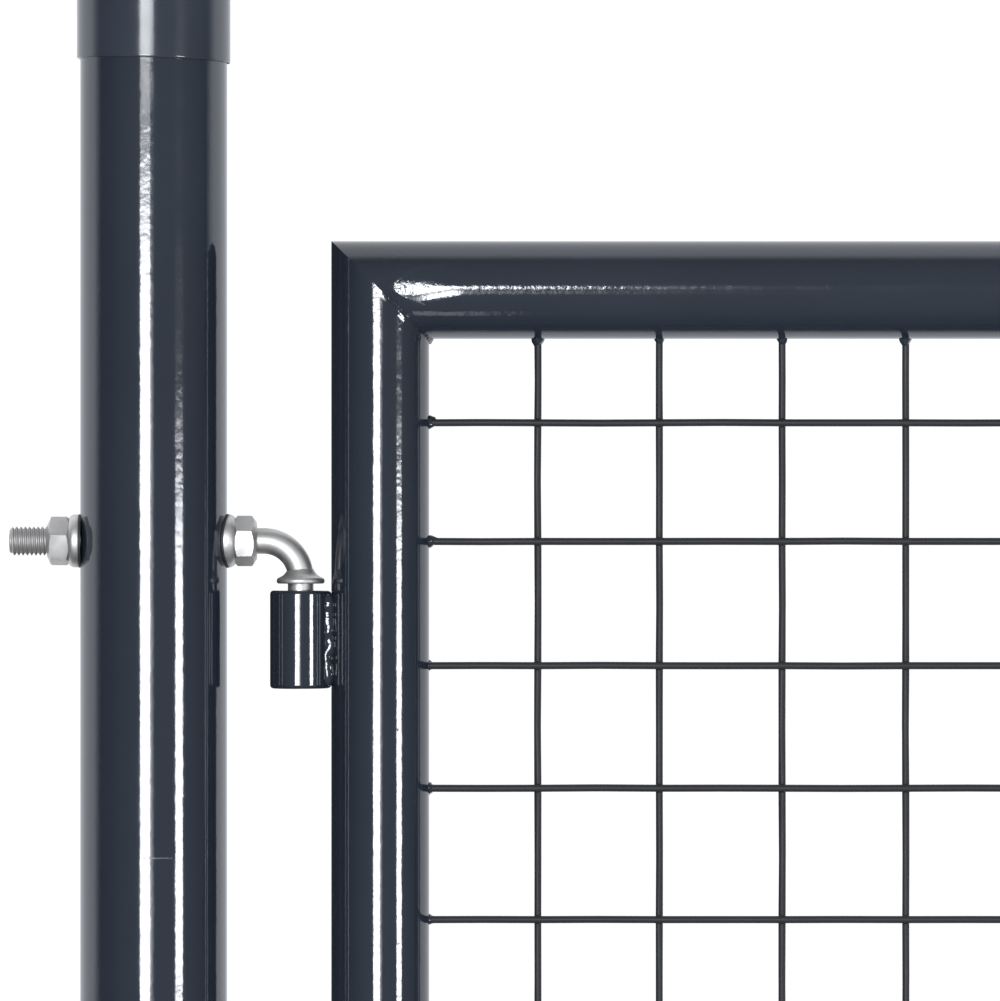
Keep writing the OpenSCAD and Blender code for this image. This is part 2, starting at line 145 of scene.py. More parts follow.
def makeSpeckGroup():
    # scattered small specks: nibs under paint, pits in zinc, dust on plastic
    group, inn, out = startGroup("scatteredSpecks", {
        "Vector": "Vector", "Scale": "Float", "Size": "Float", "Share": "Float",
    }, {"Mask": "Float"})
    cells = addNode(group, "TexVoronoi", {"Vector": inn["Vector"], "Scale": inn["Scale"], "Randomness": 1.0})
    dot = fadeOut(group, cells.outputs["Distance"], 0.0, inn["Size"])
    draw = addNode(group, "SeparateColor", {"Color": cells.outputs["Color"]}).outputs["Red"]
    group.links.new(product(group, dot, calc(group, "LESS_THAN", draw, inn["Share"])), out["Mask"])
    return group


def makeMarksGroup():
    # faint streaks left by handling and turning, drawn out along one axis by the stretch
    group, inn, out = startGroup("handlingMarks", {
        "Vector": "Vector", "Stretch": "Vector", "Low": "Float", "High": "Float",
    }, {"Mask": "Float"})
    streak = cloud(group, vectorCalc(group, "MULTIPLY", inn["Vector"], inn["Stretch"]), 1.0, 4.0, 0.65)
    group.links.new(ramp(group, streak, inn["Low"], inn["High"]), out["Mask"])
    return group


peelGroup = makePeelGroup()
toneGroup = makeToneGroup()
speckGroup = makeSpeckGroup()
marksGroup = makeMarksGroup()


# finishes: in their looks, a group's values carry the names of its sockets

def startFinish(name, **shaderValues):
    material = bpy.data.materials.new(name)
    material.use_nodes = True
    tree = material.node_tree
    shader = tree.nodes["Principled BSDF"]
    for key, value in shaderValues.items():
        shader.inputs[key].default_value = value
    shader.location.x = 2400
    tree.nodes["Material Output"].location.x = 2700
    return material, tree, shader, addNode(tree, "TexCoord").outputs["Object"]


def useTone(tree, place, look):
    tone = useGroup(tree, toneGroup, place, Scale=look["driftScale"], Base=look["base"], Lift=look["lift"],
                    LowRoughness=look["gloss"][0], HighRoughness=look["gloss"][1])
    return tone["Color"], tone["Roughness"]


def feed(tree, shader, color, roughness, heights):
    # heights are pairs of a socket and its depth in tenths of a millimetre, summed into one bump
    total = None
    for outlet, depth in heights:
        scaled = product(tree, outlet, depth)
        total = scaled if total is None else calc(tree, "ADD", total, scaled)
    bump = addNode(tree, "Bump", {"Strength": 1.0, "Distance": 0.1 * mm, "Height": total}).outputs["Normal"]
    for outlet, socket in ((color, "Base Color"), (roughness, "Roughness"), (bump, "Normal")):
        tree.links.new(outlet, shader.inputs[socket])


coatLook = {
    "base": (0.0117, 0.0160, 0.0236, 1.0),
    "lift": (0.0147, 0.0199, 0.0290, 1.0),
    "gloss": (0.06, 0.1),
    "driftScale": 9.0,
    "specular": 0.5,
    "peel": {"Scale": 260.0, "FineScale": 598.0, "FineShare": 0.3},
    "peelDepth": 0.42,  # this and the depths below in tenths of a millimetre
    "nibs": {"Scale": 70.0, "Size": 0.05, "Share": 0.12},
    "nibDepth": 0.2,
    "mitreMiddle": 20 * mm,  # in from both edges of the leaf, where two tubes cross
    "pullDepth": 0.8,  # waves drawn into the tubes near each corner
    "pullReach": (12 * mm, 110 * mm),
    "pullScale": 60.0,
    "gritDepth": 0.5,  # the rougher coat over the burnt primer
    "gritReach": (14 * mm, 36 * mm),
    "gritScale": 620.0,
    "railGrit": (45 * mm, 160 * mm),  # in from the leaf's end, fading out along the rails
    "flatDepth": 12.0,  # the dressed-down front of each rail beside its mitre
    "flatStart": (14 * mm, 26 * mm),  # in from the leaf's end
    "flatEnd": (34 * mm, 56 * mm),
    "flatLevel": 19.2 * mm,  # in from the leaf's top or bottom edge
    "flatHalf": 12.0 * mm,
    "flatNose": 290.0,  # rounds the flat's end next to the mitre
    "rippleDepth": 2.6,  # the dressed weld along the inner half of each mitre
    "rippleWidth": 4.0 * mm,
    "rippleStart": (19 * mm, 23 * mm),
    "rippleScale": 330.0,
}
scratchLook = {  # a hairline scratch on the hinge post
    "drop": 128.3 * mm,  # down from the upper bolt
    "middle": 2.8 * mm,
    "half": 6.4 * mm,
    "thickness": (0.08 * mm, 0.4 * mm),
    "waver": 1.6 * mm,
    "waverScale": 240.0,
    "breakScale": 760.0,
    "breaks": (0.38, 0.52),
    "tone": (0.062, 0.072, 0.083, 1.0),
    "roughness": 0.45,
}


def makePowderCoat(name, look, welded=True):
    material, tree, shader, place = startFinish(name, **{"IOR": 1.5, "Specular IOR Level": look["specular"]})
    color, roughness = useTone(tree, place, look)
    peel = useGroup(tree, peelGroup, place, **look["peel"])
    nibs = useGroup(tree, speckGroup, place, **look["nibs"])
    heights = [(peel["Height"], look["peelDepth"]), (nibs["Mask"], look["nibDepth"])]
    if welded:
        heights += weldHeights(tree, place, look)
        mark = scratchMask(tree, place, scratchLook)
        color = blend(tree, "RGBA", mark, color, scratchLook["tone"])
        roughness = blend(tree, "FLOAT", mark, roughness, scratchLook["roughness"])
    feed(tree, shader, color, roughness, heights)
    return material


def scratchMask(tree, place, look):
    # thin, wavering and broken, on the side of the post that faces out
    boltLow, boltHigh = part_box("upper_outer_nut")
    level = (boltLow.z + boltHigh.z) / 2 - look["drop"]
    x, y, z = addNode(tree, "SeparateXYZ", {"Vector": place}).outputs
    waver = cloud(tree, place, look["waverScale"], 2.0, 0.5)
    shift = calc(tree, "MULTIPLY_ADD", waver, look["waver"], -look["waver"] / 2 - level)
    line = fadeOut(tree, calc(tree, "ABSOLUTE", calc(tree, "ADD", z, shift)), *look["thickness"])
    aside = calc(tree, "ABSOLUTE", calc(tree, "SUBTRACT", x, look["middle"]))
    run = fadeOut(tree, aside, 0.8 * look["half"], look["half"])
    front = calc(tree, "LESS_THAN", y, 0.0)
    broken = ramp(tree, cloud(tree, place, look["breakScale"], 1.0, 0.4), *look["breaks"])
    return product(tree, line, run, front, broken)


def weldHeights(tree, place, look):
    # what welding and dressing leave near the leaf's corners, on coordinates folded into one corner
    low, high = leafBox
    middle = ((low.x + high.x) / 2, 0, (low.z + high.z) / 2)
    corner = ((high.x - low.x) / 2, 0, (high.z - low.z) / 2)
    folded = vectorCalc(tree, "ABSOLUTE", vectorCalc(tree, "SUBTRACT", place, middle))
    inward = vectorCalc(tree, "SUBTRACT", corner, folded)  # x and z now grow inward from the corner
    x, y, z = addNode(tree, "SeparateXYZ", {"Vector": inward}).outputs
    away = vectorCalc(tree, "DISTANCE", inward, (look["mitreMiddle"], 0, look["mitreMiddle"]))
    waves = cloud(tree, place, look["pullScale"], 3.0, 0.6)
    pulled = product(tree, fadeOut(tree, away, *look["pullReach"]), waves)

    across = calc(tree, "SUBTRACT", x, z)  # positive on the rails, negative on the stiles
    aside = calc(tree, "ABSOLUTE", calc(tree, "SUBTRACT", z, look["flatLevel"]))
    band = product(tree, fadeOut(tree, aside, 0.0, look["flatHalf"]), calc(tree, "GREATER_THAN", across, 0.0))
    railGrit = product(tree, fadeOut(tree, x, *look["railGrit"], "LINEAR"), band)
    burnt = calc(tree, "MAXIMUM", fadeOut(tree, away, *look["gritReach"]), railGrit)
    gritty = product(tree, burnt, cloud(tree, place, look["gritScale"], 2.0, 0.5))

    width = look["rippleWidth"]
    seam = fadeOut(tree, calc(tree, "ABSOLUTE", across), 0.2 * width, width)
    ripple = cloud(tree, place, look["rippleScale"], 1.0, 0.4)
    rippled = product(tree, seam, ramp(tree, x, *look["rippleStart"]), ripple)

    nose = calc(tree, "MULTIPLY_ADD", product(tree, aside, aside), -look["flatNose"], x)
    begun = ramp(tree, nose, *look["flatStart"])
    flat = product(tree, begun, fadeOut(tree, x, *look["flatEnd"]), band)
    return [(pulled, look["pullDepth"]), (gritty, look["gritDepth"]), (rippled, look["rippleDepth"]),
            (flat, -look["flatDepth"])]


meshCoatLook = {
    **coatLook,
    "base": (0.0165, 0.0176, 0.0194, 1.0),
    "lift": (0.0210, 0.0223, 0.0244, 1.0),
    "gloss": (0.42, 0.55),
    "specular": 0.22,
    "peel": {"Scale": 520.0, "FineScale": 1196.0, "FineShare": 0.3},
    "peelDepth": 0.05,
}
zincLook = {
    "base": (0.50, 0.488, 0.472, 1.0),
    "lift": (0.59, 0.577, 0.56, 1.0),
    "gloss": (0.45, 0.56),
    "driftScale": 110.0,
    "grain": {"Scale": 1400.0, "FineScale": 4200.0, "FineShare": 0.45},
    "grainDepth": 0.05,
    "pits": {"Scale": 420.0, "Size": 0.16, "Share": 0.1},
    "pitDepth": 0.1,
    "pitTone": (0.30, 0.29, 0.28, 1.0),
    "pitShade": 0.35,
    "marks": {"Stretch": (260.0, 1900.0, 1900.0), "Low": 0.56, "High": 0.78},
    "markDepth": 0.02,
    "markShine": 0.08,
    "threadTone": (0.45, 0.44, 0.43, 1.0),  # the cut thread past the outer nut is coloured darker and rougher
    "threadRoughness": 0.62,
    "threadEdge": 0.5 * mm,
}


def makeZinc(name, look):
    material, tree, shader, place = startFinish(name, Metallic=1.0)
    color, roughness = useTone(tree, place, look)
    grained = useGroup(tree, peelGroup, place, **look["grain"])
    pits = useGroup(tree, speckGroup, place, **look["pits"])
    marks = useGroup(tree, marksGroup, place, **look["marks"])
    color = blend(tree, "RGBA", product(tree, pits["Mask"], look["pitShade"]), color, look["pitTone"])
    roughness = calc(tree, "ADD", roughness, product(tree, marks["Mask"], -look["markShine"]))
    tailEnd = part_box("upper_outer_nut")[0].x
    x = addNode(tree, "SeparateXYZ", {"Vector": place}).outputs["X"]
    # the thread past the outer nut is coloured darker and rougher than the rest of the bolt
    thread = fadeOut(tree, x, tailEnd, tailEnd + look["threadEdge"], "LINEAR")
    color = blend(tree, "RGBA", thread, color, look["threadTone"])
    roughness = blend(tree, "FLOAT", thread, roughness, look["threadRoughness"])
    feed(tree, shader, color, roughness, [
        (grained["Height"], look["grainDepth"]), (pits["Mask"], -look["pitDepth"]),
        (marks["Mask"], -look["markDepth"])])
    return material


plasticLooks = {
    "capPlastic": {
        "base": (0.0185, 0.0235, 0.033, 1.0), "lift": (0.0225, 0.028, 0.039, 1.0), "gloss": (0.11, 0.15),
        "grain": {"Scale": 900.0, "FineScale": 2160.0, "FineShare": 0.4}, "grainDepth": 0.05},
    "leverPlastic": {
        "base": (0.014, 0.014, 0.015, 1.0), "lift": (0.019, 0.019, 0.02, 1.0), "gloss": (0.34, 0.46),
        "grain": {"Scale": 1100.0, "FineScale": 2640.0, "FineShare": 0.4}, "grainDepth": 0.11},
    "gasketRubber": {
        "base": (0.011, 0.011, 0.012, 1.0), "lift": (0.017, 0.017, 0.018, 1.0), "gloss": (0.5, 0.68),
        "grain": {"Scale": 1500.0, "FineScale": 3600.0, "FineShare": 0.4}, "grainDepth": 0.12},
}
dustLook = {
    "driftScale": 16.0,
    "dust": {"Scale": 260.0, "Size": 0.1, "Share": 0.08},
    "dustTone": (0.16, 0.17, 0.18, 1.0),
    "dustShade": 0.3,
    "dustDepth": 0.04,
}


def makePlastic(name):
    look = {**plasticLooks[name], **dustLook}
    material, tree, shader, place = startFinish(name, IOR=1.48)
    color, roughness = useTone(tree, place, look)
    grained = useGroup(tree, peelGroup, place, **look["grain"])
    dust = useGroup(tree, speckGroup, place, **look["dust"])
    color = blend(tree, "RGBA", product(tree, dust["Mask"], look["dustShade"]), color, look["dustTone"])
    feed(tree, shader, color, roughness, [
        (grained["Height"], look["grainDepth"]), (dust["Mask"], look["dustDepth"])])
    return material


nickelLook = {
    "base": (0.60, 0.56, 0.46, 1.0),
    "lift": (0.69, 0.66, 0.58, 1.0),
    "gloss": (0.2, 0.32),
    "driftScale": 60.0,
    "brushing": {"Stretch": (300.0, 300.0, 5200.0), "Low": 0.35, "High": 0.7},
    "brushDepth": 0.02,
}


def makeNickelBrass(name, look):
    material, tree, shader, place = startFinish(name, Metallic=1.0)
    color, roughness = useTone(tree, place, look)
    brushed = useGroup(tree, marksGroup, place, **look["brushing"])
    feed(tree, shader, color, roughness, [(brushed["Mask"], look["brushDepth"])])
    return material


stileBox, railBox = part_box("hinge_stile"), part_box("top_rail")
leafBox = [Vector((rail.x, stile.y, stile.z)) for rail, stile in zip(railBox, stileBox)]
tubeRadius = (stileBox[1].y - stileBox[0].y) / 2

finishes = {
    "powder_coat": makePowderCoat("powderCoat", coatLook),
    "mesh_coat": makePowderCoat("meshCoat", meshCoatLook, welded=False),
    "zinc": makeZinc("satinZinc", zincLook),
    "cap_plastic": makePlastic("capPlastic"),
    "handle_plastic": makePlastic("leverPlastic"),
    "rubber": makePlastic("gasketRubber"),
    "nickel_brass": makeNickelBrass("nickelBrass", nickelLook),
}
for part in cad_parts.values():
    for holder in part.material_slots:
        chosen = finishes[holder.material.name]
        holder.link = "OBJECT"
        holder.material = chosen
print("gate: finishes made")


# shapes

def addObject(name, data):
    made = bpy.data.objects.new(name, data)
    bpy.context.scene.collection.objects.link(made)
    return made


def newObject(name, bm):
    mesh = bpy.data.meshes.new(name)
    bm.to_mesh(mesh)
    bm.free()
    return addObject(name, mesh)


def merge(bm):
    # points this close together become one
    bmesh.ops.remove_doubles(bm, verts=bm.verts, dist=0.002 * mm)


def finishPiece(bm, name, body, slotName, standsFor=(), crease=32):
    merge(bm)
    bmesh.ops.recalc_face_normals(bm, faces=bm.faces)
    for face in bm.faces:
        face.smooth = True
    for edge in bm.edges:
        edge.smooth = len(edge.link_faces) == 2 and edge.calc_face_angle(0) < math.radians(crease)
    piece = newObject(name, bm)
    if "custom_normal" in piece.data.attributes:
        piece.data.attributes.remove(piece.data.attributes["custom_normal"])
    piece.data.materials.clear()
    piece.data.materials.append(finishes[slotName])
    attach(piece, body)
    if standsFor:
        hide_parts(*standsFor)


def gather(whole, small):
    # adds a small finished shape to a bigger one
    holder = bpy.data.meshes.new("holder")
    small.to_mesh(holder)
    small.free()
    whole.from_mesh(holder)
    bpy.data.meshes.remove(holder)


def placed(spot, direction):
    # stands a shape at the spot, upright along the direction
    return Matrix.Translation(spot) @ Vector(direction).to_track_quat("Z", "Y").to_matrix().to_4x4()


def sharpEdges(bm, degrees):
    return [e for e in bm.edges if len(e.link_faces) == 2 and e.calc_face_angle(0) > math.radians(degrees)]


def roundEdges(bm, edges, width, segments, clamp=False):
    bmesh.ops.bevel(bm, geom=edges, offset=width, offset_type="OFFSET", affect="EDGES", segments=segments,
                    profile=0.5, material=-1, clamp_overlap=clamp)


def cutAt(bm, spot, outward, clear=True):
    # cuts along the plane through the spot, and clears what lies outside unless told not to
    bmesh.ops.bisect_plane(bm, geom=bm.verts[:] + bm.edges[:] + bm.faces[:], dist=1e-7, plane_co=spot,
                           plane_no=outward, clear_outer=clear, clear_inner=False)


def closeHoles(bm):
    bmesh.ops.holes_fill(bm, edges=[e for e in bm.edges if e.is_boundary], sides=0)


def openProfile(bm, points):
    verts = [bm.verts.new(point) for point in points]
    return verts + [bm.edges.new(pair) for pair in zip(verts, verts[1:])]


def turned(bm, profile, centre=(0, 0, 0), steps=64):
    # spins a profile of (radius, height) points all the way round the upright axis through the centre
    x, y, z = centre
    geom = openProfile(bm, [(x + radius, y, z + height) for radius, height in profile])
    bmesh.ops.spin(bm, geom=geom, cent=centre, axis=(0, 0, 1), dvec=(0, 0, 0), angle=2 * math.pi, steps=steps,
                   use_merge=True, use_normal_flip=False, use_duplicate=False)


def ringEdges(ring):
    members = set(ring)
    return list({edge for vert in ring for edge in vert.link_edges if edge.other_vert(vert) in members})


def bridgeRings(bm, rings):
    # joins each ring to the next and closes both ends
    for first, second in zip(rings, rings[1:]):
        bmesh.ops.bridge_loops(bm, edges=ringEdges(first) + ringEdges(second))
    for ring in (rings[0], rings[-1]):
        bmesh.ops.contextual_create(bm, geom=ringEdges(ring))


def addRing(bm, sides, radius, matrix):
    return bmesh.ops.create_circle(bm, cap_ends=False, segments=sides, radius=radius, matrix=matrix)["verts"]


def sweep(bm, path, radii, sides, wobble=None):
    rings = []
    for number, spot in enumerate(path):
        before, after = path[max(number - 1, 0)], path[min(number + 1, len(path) - 1)]
        ring = addRing(bm, sides, radii[number], placed(spot, after - before))
        if wobble:
            for vert in ring:
                vert.co += (vert.co - spot).normalized() * wobble(vert.co)
        rings.append(ring)
    bridgeRings(bm, rings)


def softened(node, body, slotName, width, segments, trim=None):
    # a copy of a solid part with its sharp edges rounded off, and trimmed if need be
    bm = bmesh.new()
    bm.from_mesh(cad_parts[node].data)
    merge(bm)
    bmesh.ops.dissolve_limit(bm, angle_limit=math.radians(0.5), verts=bm.verts, edges=bm.edges)
    roundEdges(bm, sharpEdges(bm, 25), width, segments, clamp=True)
    if trim:
        trim(bm)
    finishPiece(bm, node + "_softened", body, slotName, (node,))


# hinge bolts: threaded tail, bend, flared collar and pin

boltShape = {
    "pitch": 1.75 * mm,
    "crestRadius": 5.9 * mm,
    "rootRadius": 4.95 * mm,
    "threadForm": [(0, 0), (0.2, 0), (0.52, 1), (0.66, 1), (1, 0)],  # along one pitch, and up from the root
    "threadSteps": 40,
    "threadCover": 5 * mm,  # how far the cut thread runs on inside the nut
    "endFlat": 4.6 * mm,
    "endRound": 0.6 * mm,  # where the plain part behind the thread stops
    "shankRadius": 5.25 * mm,
    "bendRadius": 15 * mm,
    "bendSteps": 20,
    "overlap": 2 * mm,  # of the bend with what it joins at both ends
    "join": 1 * mm,  # of the thread and the pin with what they meet
    "rimHeight": 2.4 * mm,
    "pinChamfer": 1.2 * mm,
    "sides": 48,
    "collar": [  # radius and height, mm
        (5.1, 0), (9.1, 0), (9.6, 0.2), (9.8, 0.7), (9.8, 1.4), (9.6, 1.95), (9.1, 2.35), (8.2, 2.75),
        (7.4, 3.2), (6.7, 3.8), (6.1, 4.5), (5.6, 5.3), (5.2, 6.0), (5.0, 6.0),
    ],
}


def makeHingeBolt(prefix):
    # built about the bolt's own axis with the pin down, and mirrored where the pin points up
    shape = boltShape
    low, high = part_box(prefix + "_hinge_bolt")
    nutLow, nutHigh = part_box(prefix + "_outer_nut")
    axisZ = (nutLow.z + nutHigh.z) / 2
    pinX = (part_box(prefix + "_hinge_barrel")[0].x + leafBox[0].x) / 2
    up = -1 if axisZ - low.z < high.z - axisZ else 1
    pinEnd = max(axisZ - low.z, high.z - axisZ)
    tailX, stopX = low.x, nutLow.x + shape["threadCover"]
    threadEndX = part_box(prefix + "_inner_nut")[1].x
    pitch, crest, root = shape["pitch"], shape["crestRadius"], shape["rootRadius"]
    shank, bend, tip = shape["shankRadius"], shape["bendRadius"], shape["pinChamfer"]
    bm = bmesh.new()

    turns, steps = math.ceil((stopX - tailX) / pitch) + 2, shape["threadSteps"]
    geom = openProfile(bm, [(tailX + (along - 1) * pitch, 0, root + (crest - root) * rise)
                            for along, rise in shape["threadForm"]])
    bmesh.ops.spin(bm, geom=geom, cent=(0, 0, 0), axis=(1, 0, 0), dvec=(pitch / steps, 0, 0),
                   angle=2 * math.pi * turns, steps=steps * turns, use_merge=False, use_normal_flip=False,
                   use_duplicate=False)
    merge(bm)
    cutAt(bm, (tailX, 0, 0), (-1, 0, 0))
    cutAt(bm, (stopX, 0, 0), (1, 0, 0))
    closeHoles(bm)
    for vert in bm.verts:  # the tail's lead chamfer
        radius, most = math.hypot(vert.co.y, vert.co.z), shape["endFlat"] + vert.co.x - tailX
        if radius > most:
            vert.co.y, vert.co.z = vert.co.y * most / radius, vert.co.z * most / radius

    rounding, sides = shape["endRound"], shape["sides"]
    plain = [Vector((x, 0, 0)) for x in (stopX - shape["join"], threadEndX - rounding, threadEndX)]
    sweep(bm, plain, [crest, crest, crest - rounding], sides)
    quarter = [math.radians(90 * number / shape["bendSteps"]) for number in range(shape["bendSteps"] + 1)]
    arc = [Vector((pinX - bend + bend * math.sin(a), 0, bend * math.cos(a) - bend)) for a in quarter]
    lead, tail = Vector((threadEndX - shape["overlap"], 0, 0)), Vector((pinX, 0, -bend - shape["overlap"]))
    line = [lead] + arc + [tail]
    sweep(bm, line, [shank] * len(line), sides)
    underside = -(bend + shape["rimHeight"])
    collar = shape["collar"] + shape["collar"][:1]
    turned(bm, [(radius * mm, height * mm) for radius, height in collar], (pinX, 0, underside))
    pinTop = underside + shape["join"]
    turned(bm, [(0, -pinEnd), (shank - tip, -pinEnd), (shank, tip - pinEnd), (shank, pinTop), (0, pinTop)],
           (pinX, 0, 0), sides)
    mirror = Matrix.Translation((0, 0, axisZ)) @ Matrix.Diagonal((1, 1, up, 1))
    bmesh.ops.transform(bm, matrix=mirror, verts=bm.verts)
    finishPiece(bm, prefix + "_threaded_bolt", "posts", "zinc", (prefix + "_hinge_bolt",))


nutShape = {
    "outer": {"mouth": 6.7 * mm, "slope": 0.47, "outward": -1},  # the mouth is the flat left round the thread
    "inner": {"mouth": 7.6 * mm, "slope": 0.72, "outward": 1},
    "cuts": 48,
    "round": 0.45 * mm,
    "washerRound": 0.4 * mm,
}


def makeNut(prefix, which):
    # the end away from the post is turned down to a taper, one flat cut at a time round the bolt
    node, shape = prefix + "_" + which + "_nut", nutShape[which]
    low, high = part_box(node)
    facing = Vector((shape["outward"], 0, 0))
    end = Vector((high.x if shape["outward"] > 0 else low.x, 0, (low.z + high.z) / 2))

    def taper(bm):
        for number in range(nutShape["cuts"]):
            angle = 2 * math.pi * number / nutShape["cuts"]
            away = Vector((0, math.cos(angle), math.sin(angle)))
            cutAt(bm, end + away * shape["mouth"], facing + away * shape["slope"])
            closeHoles(bm)

    softened(node, "posts", "zinc", nutShape["round"], 3, taper)


for hinge in ("upper", "lower"):
    makeHingeBolt(hinge)
    for which in ("outer", "inner"):
        makeNut(hinge, which)
    for which in ("outer", "inner"):
        softened(hinge + "_" + which + "_washer", "posts", "zinc", nutShape["washerRound"], 3)
print("gate: hinge bolts, nuts and washers made")


capShape = {
    "wall": 1.2 * mm,
    "domeRise": 3 * mm,
    "domeSteps": 12,
    "topRound": 1.3 * mm,
    "topSteps": 5,
    "rimRound": 0.3 * mm,
    "sides": 96,
    "askew": {"hinge_post": -0.03, "latch_post": 0.012},  # slope of each rim across the post
}


def makePostCap(post):
    low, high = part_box(post + "_cap")
    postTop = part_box(post)[1].z
    shape = capShape
    outer, middle = (high.y - low.y) / 2, (low.x + high.x) / 2
    inner, rounding, rim = outer - shape["wall"], shape["topRound"], shape["rimRound"]
    domeRadius = (outer ** 2 + shape["domeRise"] ** 2) / (2 * shape["domeRise"])
    profile = []
    for number in range(shape["domeSteps"] + 1):
        radius = (outer - rounding) * number / shape["domeSteps"]
        profile.append((radius, high.z - radius ** 2 / (2 * domeRadius)))
    shoulder = profile[-1][1] - rounding
    for number in range(1, shape["topSteps"] + 1):
        angle = math.radians(90 * number / shape["topSteps"])
        profile.append((outer - rounding + rounding * math.sin(angle), shoulder + rounding * math.cos(angle)))
    profile += [(outer, shoulder + (low.z - shoulder) * share) for share in (0.25, 0.5, 0.75)]
    profile += [(outer, low.z + 3 * rim), (outer, low.z + rim), (outer - 0.3 * rim, low.z + 0.3 * rim),
                (outer - rim, low.z), (inner + rim, low.z), (inner, low.z + rim),
                (inner, postTop), (0, postTop)]
    bm = bmesh.new()
    turned(bm, profile, (middle, 0, 0), shape["sides"])
    for vert in bm.verts:  # the rim sits a little askew
        down = min(max((postTop - vert.co.z) / (postTop - low.z), 0), 1)
        vert.co.z += shape["askew"][post] * (vert.co.x - middle) * down
    finishPiece(bm, post + "_moulded_cap", "posts", "cap_plastic", (post + "_cap",), 40)


for post in ("hinge_post", "latch_post"):
    makePostCap(post)
print("gate: post caps made")


meshShape = {
    "pitch": 50 * mm,
    "columns": 14,
    "rows": 23,
    "wireRadius": 1.5 * mm,
    "sink": 0.3 * mm,
    "sides": 10,
    "rowStrays": [0.8, 2.4, 1.7, 1.7, -1.9],  # mm, repeated down from the top wire
    "columnStrays": [-0.7, -1.1, -1, -0.5],  # mm, repeated across from the hinge side
    "bow": 0.16 * mm,
    "bury": 0.8 * mm,  # how far a wire runs into its tube
    "fused": (2.0 * mm, 1.15 * mm, 2.0 * mm),  # the spot where two wires cross
    "endWeld": (3.7 * mm, 2.7 * mm, 2.6 * mm),  # along the wire, across it, and front to back
    "weldSpread": 0.14,  # how much the end welds differ in size
    "weldLean": 0.25,
    "weldLumps": ((0.3, 1.3), (0.16, 3.1)),  # height and fineness of their noise
    "weldPinch": 0.42,  # narrows each weld along its wire
    "weldInset": 0.6 * mm,  # how far its middle lies inside the tube
    "weldDepth": 0.6,  # share of the wire's own depth
    "seed": 41,
}


def spaced(middle, pitch, count, strays):
    # places of parallel wires, each off its true pitch by its stray
    return [middle + (number - (count - 1) / 2) * pitch + strays[number % len(strays)] * mm
            for number in range(count)]


def makeMesh():
    shape = meshShape
    rng = random.Random(shape["seed"])
    low, high = leafBox
    tube = railBox[1].z - railBox[0].z
    caseLow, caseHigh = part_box("lock_case")
    radius, bury, inset = shape["wireRadius"], shape["bury"], shape["weldInset"]
    depth = radius - shape["sink"]
    weldY = depth * shape["weldDepth"]
    xs = spaced((low.x + high.x) / 2, shape["pitch"], shape["columns"], shape["columnStrays"])
    zs = spaced((low.z + high.z) / 2, -shape["pitch"], shape["rows"], shape["rowStrays"])
    whole, welds = bmesh.new(), bmesh.new()

    def lay(start, end, stops, across):
        # one wire with a ring at each crossing and between crossings, where it bows a little
        heading = (end - start).normalized()
        reach = (end - start).length
        marks = sorted({0.0, reach} | {stop for stop in stops if 1 * mm < stop < reach - 1 * mm})
        path = []
        for here, ahead in zip(marks, marks[1:]):
            bow = across * rng.uniform(-1, 1) * shape["bow"]
            path += [start + heading * here, start + heading * (here + ahead) / 2 + bow]
        path.append(start + heading * marks[-1])
        wire = bmesh.new()
        sweep(wire, path, [radius] * len(path), shape["sides"])
        gather(whole, wire)

    def endWeld(spot, heading, across):
        # the blob at a wire's end, drawn out along the wire
        lump = bmesh.new()
        bmesh.ops.create_icosphere(lump, subdivisions=3, radius=1)
        size = Vector(shape["endWeld"]) * rng.uniform(1 - shape["weldSpread"], 1 + shape["weldSpread"])
        shift = Vector([rng.uniform(0, 60) for axis in range(3)])
        lean = rng.uniform(-shape["weldLean"], shape["weldLean"])
        for vert in lump.verts:
            local = vert.co.normalized()
            local *= 1 + sum(rise * noise.noise(local * fine + shift) for rise, fine in shape["weldLumps"])
            pinch = 1 - shape["weldPinch"] * max(local.x, 0)
            aside = (local.y * pinch + lean * local.x) * size.y
            vert.co = (spot + heading * local.x * size.x + across * aside
                       + Vector((0, 1, 0)) * local.z * pinch * size.z)
        gather(welds, lump)

    fused = bmesh.new()
    bmesh.ops.create_uvsphere(fused, u_segments=8, v_segments=6, radius=1,
                              matrix=Matrix.Diagonal((*shape["fused"], 1)))
    fusedSpot = bpy.data.meshes.new("fusedSpot")
    fused.to_mesh(fusedSpot)
    fused.free()
    right, upward = Vector((1, 0, 0)), Vector((0, 0, 1))
    bottom, top = low.z + tube, high.z - tube
    left, farRight = low.x + tube, high.x - tube
    for x in xs:
        start, end = Vector((x, depth, bottom - bury)), Vector((x, depth, top + bury))
        lay(start, end, [z - start.z for z in zs], right)
        endWeld(Vector((x, weldY, top + inset)), -upward, right)
        endWeld(Vector((x, weldY, bottom - inset)), upward, right)
    for z in zs:
        atCase = caseLow.z - radius < z < caseHigh.z + radius
        stop = caseLow.x if atCase else farRight
        start, end = Vector((left - bury, -depth, z)), Vector((stop + bury, -depth, z))
        lay(start, end, [x - start.x for x in xs], upward)
        endWeld(Vector((left - inset, -weldY, z)), right, upward)
        endWeld(Vector((stop + inset, -weldY, z)), -right, upward)
        for x in xs:
            fusedSpot.transform(Matrix.Translation((x, 0, z)))
            whole.from_mesh(fusedSpot)
            fusedSpot.transform(Matrix.Translation((-x, 0, -z)))
    bpy.data.meshes.remove(fusedSpot)
    finishPiece(whole, "welded_mesh", "leaf", "mesh_coat", ("mesh_panel",), 60)
    finishPiece(welds, "mesh_end_welds", "leaf", "powder_coat", (), 60)


makeMesh()
print("gate: mesh made")


# weld beads on the leaf's frame, the hinges, the lock case and the strike

